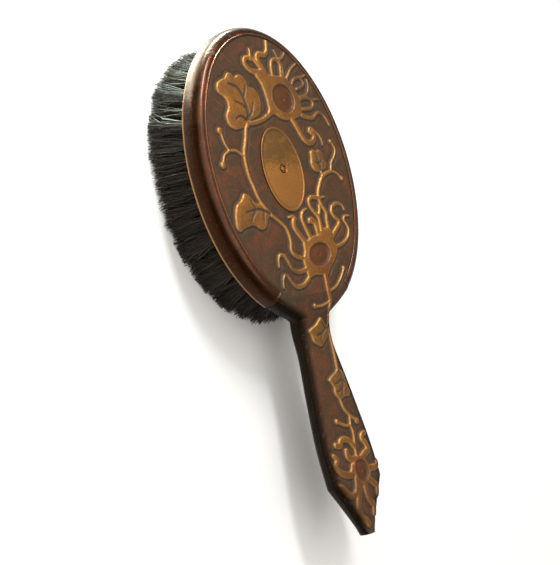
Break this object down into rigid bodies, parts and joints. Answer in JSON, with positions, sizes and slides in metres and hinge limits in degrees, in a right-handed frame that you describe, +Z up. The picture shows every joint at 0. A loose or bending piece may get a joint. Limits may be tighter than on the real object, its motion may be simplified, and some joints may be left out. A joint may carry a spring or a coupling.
{
  "type": "vanity hairbrush",
  "caption": "Oval vanity hairbrush with an embossed copper back, polished rim band, pointed metal handle and dense dark natural bristles.",
  "frame": {"origin": "centre of the bounding box at the plane of the bristle tips, which the brush lies on", "axes": "+Z up through the metal back, +Y along the brush towards the far end of the head, handle along -Y, +X across the head"},
  "size_m": [0.0932, 0.23, 0.0351],
  "materials": {
    "patinated_copper": "stamped copper with an aged brown patina, relief rubbed golden",
    "polished_copper": "smooth polished dark reddish-brown copper",
    "dark_copper": "smooth, nearly black brown patina",
    "bright_bronze": "finely turned golden bronze",
    "brass": "plain drawn brass",
    "steel": "plain rolled steel",
    "filler": "hard resin and chalk filling, matt",
    "liner_card": "thin grey-brown card",
    "board_wood": "dark stained close-grained wood",
    "bristle": "natural bristle, near black, slight gloss"
  },
  "bodies": {
    "root": {"back_plate": "patinated_copper", "rim_band": "polished_copper", "handle_shell": "dark_copper", "medallion": "bright_bronze", "medallion_rivet": "brass", "rivet_washer": "steel", "head_filler": "filler", "handle_filler": "filler", "handle_tang": "steel", "board_liner": "liner_card", "lacing_wire": "brass", "brush_board": "board_wood", "bristle_row_1": "bristle", "bristle_row_2": "bristle", "bristle_row_3": "bristle", "bristle_row_4": "bristle", "bristle_row_5": "bristle", "bristle_row_6": "bristle", "bristle_row_7": "bristle", "bristle_row_8": "bristle", "bristle_row_9": "bristle", "bristle_row_10": "bristle", "bristle_row_11": "bristle", "lip_pin_1": "brass", "lip_pin_2": "brass", "lip_pin_3": "brass", "lip_pin_4": "brass", "lip_pin_5": "brass", "lip_pin_6": "brass", "lip_pin_7": "brass", "lip_pin_8": "brass"}
  },
  "joints": []
}
